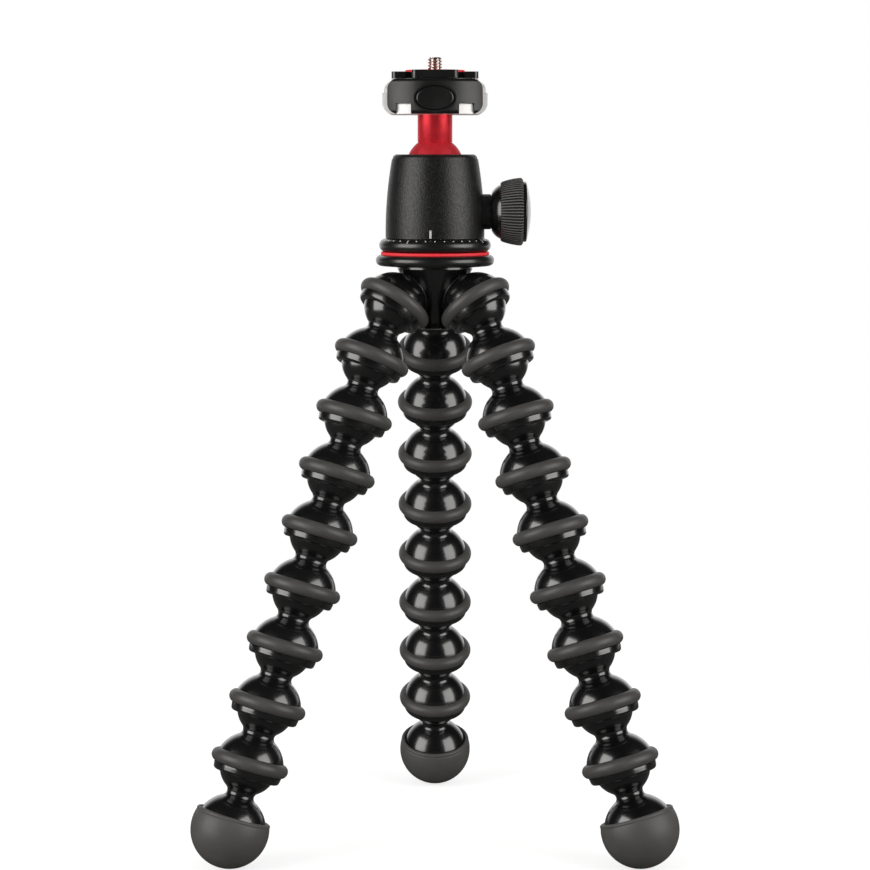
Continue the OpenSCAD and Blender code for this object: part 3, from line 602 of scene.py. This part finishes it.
def crease_path(azimuth):
    """Where a socket's round outside meets the column, as a closed curve."""
    side = []
    for k in range(CREASE_STEPS + 1):
        z = CREASE_LOW + CREASE_RISE * k / CREASE_STEPS
        r = column_r(z)
        c = (r * r + HUB_BALL_X ** 2 + z * z - DOME_R ** 2) / (2 * r * HUB_BALL_X)
        if c <= 1.0:
            side.append((r, math.acos(c), z))
    middle = math.radians(azimuth)
    curve = [(r, middle + a, z) for r, a, z in side]
    curve += [(r, middle - a, z) for r, a, z in reversed(side)]
    return [(r * math.cos(t), r * math.sin(t), HUB_Z + z) for r, t, z in curve]


# Beads along the creases between sockets and column, whose grey base paints the highlight line of
# the crease
bm = bmesh.new()
for azimuth in LEGS.values():
    tube_into(bm, crease_path(azimuth), CREASE_R)
outward(bm)
piece = place("hub_fillets", mesh_mm("hub_fillets", bm, [CREASE]))
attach(piece, "hub")

bm = bmesh.new()
lathe_into(bm, [(r, HUB_Z + z) for r, z in POST])
outward(bm)
piece = place("hub_post", mesh_mm("hub_post", bm, [GLOSS], sharp=40.0))
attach(piece, "hub")

bm = bmesh.new()
ring_z = HUB_Z + FOOT_RING_Z
lathe_into(bm, arc(FOOT_RING_X, ring_z, FOOT_RING_R, -90, 180, steps=14)
           + [(FOOT_RING_IN_R, ring_z + FOOT_RING_STEP), (FOOT_RING_IN_R, ring_z - FOOT_RING_R)],
           closed=True)
outward(bm)
piece = place("hub_foot_ring", mesh_mm("hub_foot_ring", bm, [STEEL]))
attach(piece, "hub")


# ---------------------------------------------------------------- screws

def thread_into(bm, z0, z1, columns=48, rows_per_pitch=14):
    """A right-hand thread about Z from z0 to z1, with a tapered tip."""
    rows = int((z1 - z0) / THREAD_PITCH * rows_per_pitch)
    rings = []
    for k in range(rows + 1):
        z = z0 + (z1 - z0) * k / rows
        limit = THREAD_R - max(0.0, z - (z1 - TIP_TAPER))
        ring = []
        for c in range(columns):
            phase = ((z - z0) / THREAD_PITCH - c / columns) % 1.0
            rise = (0.5 - abs(phase - 0.5)) * CREST_SLOPE - ROOT_FLAT
            r = min(limit, ROOT_R + THREAD_DEPTH * min(1.0, max(0.0, rise)))
            a = 2 * math.pi * c / columns
            ring.append(bm.verts.new((r * math.cos(a), r * math.sin(a), z)))
        rings.append(ring)
    for a, b in zip(rings, rings[1:]):
        bridge(bm, a, b)
    bm.faces.new(list(reversed(rings[0])))
    bm.faces.new(rings[-1])


SCREW_SEGMENTS = 64
SCREW_SHARP = 30.0

screw_low, screw_high = box_mm("camera_screw")
pad_top = box_mm("plate_pad")[1][2]
head_low = screw_low[2]
head_top = head_low + SCREW_HEAD_H
bm = bmesh.new()
lathe_into(bm, [(0.0, head_low), (SCREW_HEAD_R - SCREW_HEAD_EDGE, head_low),
                (SCREW_HEAD_R, head_low + SCREW_HEAD_EDGE),
                (SCREW_HEAD_R, head_top - SCREW_HEAD_EDGE),
                (SCREW_HEAD_R - SCREW_HEAD_EDGE, head_top), (ROOT_R, head_top),
                (ROOT_R, pad_top), (0.0, pad_top)], SCREW_SEGMENTS)
thread_into(bm, pad_top - SCREW_OVERLAP, screw_high[2])
outward(bm)
piece = place("camera_screw_look", mesh_mm("camera_screw_look", bm, [STEEL], SCREW_SHARP))
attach(piece, "camera_screw")
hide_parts("camera_screw")

stud_low, stud_high = box_mm("tripod_screw")
stud_foot = stud_low[2]
pad_low = box_mm("disc_pad")[0][2]
flange_low = pad_low - FLANGE_H
bm = bmesh.new()
lathe_into(bm, [(0.0, stud_foot), (THREAD_R - STUD_EDGE, stud_foot),
                (THREAD_R, stud_foot + STUD_EDGE), (THREAD_R, flange_low),
                (FLANGE_R - FLANGE_EDGE, flange_low), (FLANGE_R, flange_low + FLANGE_EDGE),
                (FLANGE_R, pad_low - FLANGE_EDGE), (FLANGE_R - FLANGE_EDGE, pad_low),
                (ROOT_R, pad_low), (0.0, pad_low + STUD_RISE)], SCREW_SEGMENTS)
thread_into(bm, pad_low - STUD_OVERLAP, stud_high[2])
outward(bm)
piece = place("tripod_screw_look", mesh_mm("tripod_screw_look", bm, [STEEL], SCREW_SHARP))
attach(piece, "hub")
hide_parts("tripod_screw")


# ---------------------------------------------------------------- head

HEAD_Z = box_mm("pan_base")[0][2]
HOUSING_Z = box_mm("housing")[0][2]
stem_low, stem_high = box_mm("ball_stem")
BALL_Z = stem_low[2] + HEAD_BALL_R
knob_low, knob_high = box_mm("knob_grip")
KNOB_Z = (knob_low[2] + knob_high[2]) / 2
ALONG_X = (Matrix.Translation((0.0, 0.0, KNOB_Z * MM))
           @ Matrix.Rotation(math.radians(90), 4, "Y"))

# The ball with its stem: the stem shines more than the ball
foot_z = BALL_Z + math.sqrt(HEAD_BALL_R ** 2 - STEM_R ** 2)
stem_top = stem_high[2]
ball = arc(0.0, BALL_Z, HEAD_BALL_R, -90, math.degrees(math.acos(STEM_R / HEAD_BALL_R)), steps=44)
ball[0] = (0.0, BALL_Z - HEAD_BALL_R)
stem = [(STEM_R + x, foot_z + z) for x, z in STEM_FOOT]
stem = [(0.0, stem[0][1])] + stem
stem += [(STEM_R, stem_top - STEM_EDGE), (STEM_R - STEM_EDGE, stem_top), (0.0, stem_top)]
bm = bmesh.new()
lathe_into(bm, ball + [(0.0, foot_z)], mat=1)
lathe_into(bm, stem)
outward(bm)
piece = place("ball_stem_look", mesh_mm("ball_stem_look", bm, [RED_ALU, RED_BALL], sharp=40.0))
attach(piece, "ball_stem")
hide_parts("ball_stem")

# Dots every ten degrees and longer ticks every ninety on the base's upper rounding
EDGE_R = BASE_H / 2
MARK_SHARP = 50.0


def on_rim(azimuth, slope):
    """A point just above the base's rounded rim, and the direction round the base there."""
    a = math.radians(azimuth)
    s = math.radians(slope)
    out = Vector((math.cos(a), math.sin(a), 0.0))
    normal = out * math.cos(s) + Vector((0.0, 0.0, math.sin(s)))
    centre = out * (BASE_R - EDGE_R) + Vector((0.0, 0.0, HEAD_Z + EDGE_R))
    around = Vector((-math.sin(a), math.cos(a), 0.0))
    return centre + normal * (EDGE_R + MARK_LIFT), around


def tick_into(bm, azimuth):
    """A tick down the rim's rounding."""
    rows = []
    for j in range(TICK_PARTS + 1):
        p, around = on_rim(azimuth, TICK_TOP - TICK_SPAN * j / TICK_PARTS)
        rows.append([bm.verts.new(p - TICK_HALF_W * around),
                     bm.verts.new(p + TICK_HALF_W * around)])
    for a, b in zip(rows, rows[1:]):
        bm.faces.new((a[0], b[0], b[1], a[1]))


def dot_into(bm, azimuth):
    """A round dot on the rim's rounding."""
    ring = []
    for j in range(DOT_SIDES):
        t = 2 * math.pi * j / DOT_SIDES
        turn = math.degrees(DOT_R * math.cos(t) / BASE_R)
        slope = DOT_SLOPE + math.degrees(DOT_R * math.sin(t) / EDGE_R)
        ring.append(bm.verts.new(on_rim(azimuth + turn, slope)[0]))
    bm.faces.new(ring)


bm = bmesh.new()
for k in range(MARKS):
    mark_into = dot_into if k % TICK_EVERY else tick_into
    mark_into(bm, MARK_START + MARK_STEP * k)
thicken(bm)
piece = place("base_scale", mesh_mm("base_scale", bm, [MARK], MARK_SHARP))
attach(piece, "head_base")

# Index line at the foot of the housing
bm = bmesh.new()
rows = []
for j in range(INDEX_UP + 1):
    z = HOUSING_Z + INDEX_LOW + INDEX_H * j / INDEX_UP
    row = []
    for i in range(INDEX_ACROSS + 1):
        x = INDEX_X - INDEX_W / 2 + INDEX_W * i / INDEX_ACROSS
        y = -math.sqrt((HOUSING_R + INDEX_LIFT) ** 2 - x * x)
        row.append(bm.verts.new((x, y, z)))
    rows.append(row)
for a, b in zip(rows, rows[1:]):
    for i in range(INDEX_ACROSS):
        bm.faces.new((a[i], a[i + 1], b[i + 1], b[i]))
thicken(bm)
piece = place("index_line", mesh_mm("index_line", bm, [MARK], MARK_SHARP))
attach(piece, "head_housing")

# Knob: washer, ribbed grip and cap, drawn about Z and laid along X
bm = bmesh.new()
washer_end = KNOB_X + WASHER_STEP
lathe_into(bm, [(WASHER_IN_R, BOSS_X + WASHER_GAP), (WASHER_R - WASHER_EDGE, BOSS_X + WASHER_GAP),
                (WASHER_R, BOSS_X + WASHER_STEP), (WASHER_R, washer_end),
                (WASHER_IN_R, washer_end)], closed=True)
outward(bm)
piece = place("knob_washer", mesh_mm("knob_washer", bm, [SATIN], sharp=30.0), ALONG_X)
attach(piece, "lock_knob")


def grip_ring(bm, x, radii):
    """A ring of points about the knob's axis, one for each radius."""
    count = len(radii)
    turns = [2 * math.pi * k / count for k in range(count)]
    return [bm.verts.new((r * math.cos(t), r * math.sin(t), x)) for r, t in zip(radii, turns)]


def rib_dip(k):
    """How far a point round the grip lies in its groove, from 0 to 1."""
    phase = (k % RIB_STEPS) / RIB_STEPS
    if not RIB_GROOVE[0] < phase < RIB_GROOVE[1]:
        return 0.0
    return max(0.0, math.cos(2 * math.pi * (phase - 0.5) * RIB_WAVE))


bm = bmesh.new()
grip_start = GRIP_X + GRIP_GAP
grip_l = GRIP_END_X - GRIP_X - 2 * GRIP_GAP
around_grip = range(GRIP_RIBS * RIB_STEPS)
loops = []
for j in range(GRIP_ROWS + 1):
    u = j / GRIP_ROWS
    outline = GRIP_R + (GRIP_END_R - GRIP_R) * u + GRIP_BELLY * u * (1 - u)
    outline -= GRIP_END_ROUND * max(0.0, (u - GRIP_END_FROM) / (1 - GRIP_END_FROM)) ** 2
    outline -= GRIP_START_ROUND * max(0.0, (GRIP_START_TO - u) / GRIP_START_TO)
    radii = [outline - (RIB_DEPTH + RIB_DEEPER * u) * rib_dip(k) for k in around_grip]
    loops.append(grip_ring(bm, grip_start + grip_l * u, radii))
for x in (grip_start + grip_l, grip_start):
    loops.append(grip_ring(bm, x, [GRIP_CORE_R] * len(around_grip)))
for j, (a, b) in enumerate(zip(loops, loops[1:] + loops[:1])):
    for k, face in enumerate(bridge(bm, a, b)):
        # Faces down in a groove take the near-black painted groove shade
        if j < GRIP_ROWS and k % RIB_STEPS in GROOVE_SHADE_STEPS:
            face.material_index = 1
outward(bm)
piece = place("knob_grip_look", mesh_mm("knob_grip_look", bm, [GRIP, GRIP_GROOVE_SHADE], sharp=50.0),
              ALONG_X)
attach(piece, "lock_knob")
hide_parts("knob_grip")

bm = bmesh.new()
cap = [(0.0, GRIP_END_X), (CAP_R - CAP_EDGE, GRIP_END_X)]
cap += arc(CAP_R - CAP_EDGE, GRIP_END_X + CAP_EDGE, CAP_EDGE, -80, 0, steps=4)
cap += arc(CAP_R - CAP_ROUND, GRIP_END_X + CAP_RIM, CAP_ROUND, 0, CAP_ROUND_STOP, steps=6)
edge_r, edge_x = cap[-1]
cap_top = GRIP_END_X + CAP_H
rise = cap_top - edge_x
sphere_r = (edge_r ** 2 + rise ** 2) / (2 * rise)
top_a = math.degrees(math.asin(edge_r / sphere_r))
cap += arc(0.0, cap_top - sphere_r, sphere_r, 90 - top_a, 90, steps=16)[1:]
cap[-1] = (0.0, cap_top)
lathe_into(bm, cap, segments=128)
outward(bm)
piece = place("knob_cap_look", mesh_mm("knob_cap_look", bm, [GLOSS], sharp=50.0), ALONG_X)
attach(piece, "lock_knob")
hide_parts("knob_cap")

# Button: an oval with a rounded rim and a shallow dish
button_low, button_high = box_mm("release_button")
front, back = button_low[1], button_high[1]
middle_z = (button_low[2] + button_high[2]) / 2
turns = [2 * math.pi * k / BUTTON_SIDES for k in range(BUTTON_SIDES)]
bm = bmesh.new()
rings = []
for share, y in [(s, front + depth) for s, depth in DISH] + [(1.0, back)]:
    half_w, half_h = share * BUTTON_W / 2, share * BUTTON_H / 2
    rings.append([bm.verts.new((half_w * math.cos(t), y, middle_z + half_h * math.sin(t)))
                  for t in turns])
centre = bm.verts.new((0.0, front + DISH_DEPTH, middle_z))
for k in range(BUTTON_SIDES):
    bm.faces.new((centre, rings[0][(k + 1) % BUTTON_SIDES], rings[0][k]))
for a, b in zip(rings, rings[1:]):
    bridge(bm, a, b)
bm.faces.new(rings[-1])
outward(bm)
piece = place("release_button_look", mesh_mm("release_button_look", bm, [SATIN], sharp=50.0))
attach(piece, "release_button")
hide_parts("release_button")


# ---------------------------------------------------------------- softened CAD pieces

def softened(node, body, width):
    """A copy of a node's mesh with its sharp edges bevelled, in its place."""
    bm = bmesh.new()
    bm.from_mesh(nodes[node].data)
    bmesh.ops.remove_doubles(bm, verts=bm.verts, dist=WELD_M)
    bmesh.ops.dissolve_limit(bm, angle_limit=math.radians(FLAT_ANGLE), verts=bm.verts,
                             edges=bm.edges)
    limit = math.radians(BEVEL_ANGLE)
    edges = [e for e in bm.edges
             if len(e.link_faces) == 2 and e.calc_face_angle(0.0) > limit]
    bmesh.ops.bevel(bm, geom=edges, offset=width * MM, offset_type="OFFSET", segments=3,
                    profile=0.5, affect="EDGES", clamp_overlap=True)
    slot = SLOT_OF[node]
    obj = place(f"{node}_look", smooth_mesh(f"{node}_look", bm, [LOOK[slot]], BEVEL_SHARP))
    weigh = obj.modifiers.new("weigh", "WEIGHTED_NORMAL")
    weigh.keep_sharp = True
    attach(obj, body)
    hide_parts(node)


for node, (body, width) in SOFTENED.items():
    softened(node, body, width)


# ---------------------------------------------------------------- camera and lights, in metres

LENS = 107.83
SENSOR = 36.0
CAMERA_PLACE = (0.0, -1.1466, 0.306)
CAMERA_PITCH = 6.18
CLIP_END = 20.0

cam_data = bpy.data.cameras.new("camera")
cam_data.lens = LENS
cam_data.sensor_width = SENSOR
cam_data.clip_end = CLIP_END
cam = bpy.data.objects.new("camera", cam_data)
cam.location = CAMERA_PLACE
cam.rotation_euler = (math.radians(90 - CAMERA_PITCH), 0.0, 0.0)
scene.collection.objects.link(cam)
scene.camera = cam

SOFTBOX_SIZE = (0.95, 1.1)
SOFTBOX_AIM = Vector((0.0, 0.0, 0.2))
SOFTBOX_COLOUR = (1.0, 0.985, 0.96)
SOFTBOXES = {
    "softbox_left": (Vector((-1.04, -0.60, 0.45)), 4.2),
    "softbox_right": (Vector((1.04, -0.60, 0.45)), 3.7),
}

for name, (spot, radiance) in SOFTBOXES.items():
    data = bpy.data.lights.new(name, "AREA")
    data.shape = "RECTANGLE"
    data.size, data.size_y = SOFTBOX_SIZE
    data.energy = radiance * math.pi * data.size * data.size_y
    data.color = SOFTBOX_COLOUR
    lamp = bpy.data.objects.new(name, data)
    lamp.location = spot
    lamp.rotation_euler = (SOFTBOX_AIM - spot).to_track_quat("-Z", "Y").to_euler()
    scene.collection.objects.link(lamp)


# ---------------------------------------------------------------- room

WHITE = (1.0, 1.0, 1.0, 1.0)
AMBIENT = 0.4
MIRRORED_FRONT = 0.015
MIRRORED_BACK = 1.0
MIRRORED_FADE = (0.6, 0.92)


def math_node(tree, operation, a, b):
    """A maths node fed by two outputs, or by an output and a constant."""
    node = tree.nodes.new("ShaderNodeMath")
    node.operation = operation
    for socket, value in zip(node.inputs, (a, b)):
        if isinstance(value, float):
            socket.default_value = value
        else:
            tree.links.new(value, socket)
    return node.outputs[0]


def fade_node(tree, value, start, stop, low=0.0, high=1.0):
    """A smooth step from low to high where a value goes from start to stop."""
    node = add_node(tree, "ShaderNodeMapRange", {
        "From Min": start, "From Max": stop, "To Min": low, "To Max": high})
    node.interpolation_type = "SMOOTHSTEP"
    tree.links.new(value, node.inputs["Value"])
    return node.outputs["Result"]


def mix_node(tree, factor, first, second):
    """Mixes two shaders by a factor."""
    node = tree.nodes.new("ShaderNodeMixShader")
    tree.links.new(factor, node.inputs["Fac"])
    tree.links.new(first.outputs[0], node.inputs[1])
    tree.links.new(second.outputs[0], node.inputs[2])
    return node


# White to the camera, dim to matt surfaces; mirrors see it dark in front and white behind
world = bpy.data.worlds.new("studio")
scene.world = world
world.use_nodes = True
sky = world.node_tree
sky.nodes.clear()
path = add_node(sky, "ShaderNodeLightPath")
direction = add_node(sky, "ShaderNodeSeparateXYZ")
sky.links.new(add_node(sky, "ShaderNodeTexCoord").outputs["Generated"], direction.inputs["Vector"])
ambient = add_node(sky, "ShaderNodeBackground", {"Color": WHITE, "Strength": AMBIENT})
mirrored = add_node(sky, "ShaderNodeBackground", {"Color": WHITE})
sky.links.new(fade_node(sky, direction.outputs["Y"], *MIRRORED_FADE, MIRRORED_FRONT,
                        MIRRORED_BACK), mirrored.inputs["Strength"])
seen = add_node(sky, "ShaderNodeBackground", {"Color": WHITE, "Strength": 1.0})
is_mirror = math_node(sky, "MAXIMUM", path.outputs["Is Glossy Ray"],
                      path.outputs["Is Transmission Ray"])
room = mix_node(sky, path.outputs["Is Camera Ray"], mix_node(sky, is_mirror, ambient, mirrored),
                seen)
sky_out = add_node(sky, "ShaderNodeOutputWorld")
sky.links.new(room.outputs[0], sky_out.inputs["Surface"])

# A pale floor that takes a faint shadow near the part and turns white farther off
FLOOR_R_MM = 3000.0
FLOOR_GREY = (0.45, 0.45, 0.45, 1.0)
FLOOR_MIRRORED = (0.1, 0.098, 0.095, 1.0)
FLOOR_LIFT = 0.74
FLOOR_SEEN_FADE = (0.22, 0.6)
FLOOR_MIRRORED_FADE = (0.5, 2.0)

floor_mat = bpy.data.materials.new("floor")
floor_mat.use_nodes = True
tree = floor_mat.node_tree
tree.nodes.clear()
path = add_node(tree, "ShaderNodeLightPath")
spot = add_node(tree, "ShaderNodeTexCoord").outputs["Object"]
distance = add_node(tree, "ShaderNodeVectorMath")
distance.operation = "LENGTH"
tree.links.new(spot, distance.inputs[0])
axes = add_node(tree, "ShaderNodeSeparateXYZ")
tree.links.new(spot, axes.inputs["Vector"])

pale = add_node(tree, "ShaderNodeBsdfDiffuse", {"Color": FLOOR_GREY})
dim = add_node(tree, "ShaderNodeBsdfDiffuse", {"Color": FLOOR_MIRRORED})
lift = add_node(tree, "ShaderNodeEmission")
tree.links.new(math_node(tree, "MULTIPLY", path.outputs["Is Camera Ray"], FLOOR_LIFT),
               lift.inputs["Strength"])
near = add_node(tree, "ShaderNodeAddShader")
tree.links.new(mix_node(tree, path.outputs["Is Glossy Ray"], pale, dim).outputs[0], near.inputs[0])
tree.links.new(lift.outputs[0], near.inputs[1])
far = add_node(tree, "ShaderNodeEmission", {"Strength": 1.0})

seen_far = math_node(tree, "MULTIPLY", path.outputs["Is Camera Ray"],
                     fade_node(tree, distance.outputs["Value"], *FLOOR_SEEN_FADE))
is_mirror = math_node(tree, "MAXIMUM", path.outputs["Is Glossy Ray"],
                      path.outputs["Is Transmission Ray"])
mirrored_far = math_node(tree, "MULTIPLY", is_mirror,
                         fade_node(tree, axes.outputs["Y"], *FLOOR_MIRRORED_FADE))
ground = mix_node(tree, math_node(tree, "MAXIMUM", seen_far, mirrored_far), near, far)
floor_out = add_node(tree, "ShaderNodeOutputMaterial")
tree.links.new(ground.outputs[0], floor_out.inputs["Surface"])

floor_bm = bmesh.new()
bmesh.ops.create_circle(floor_bm, cap_ends=True, segments=128, radius=FLOOR_R_MM)
floor = place("floor", mesh_mm("floor", floor_bm, [floor_mat]))

scene.view_settings.view_transform = "Standard"
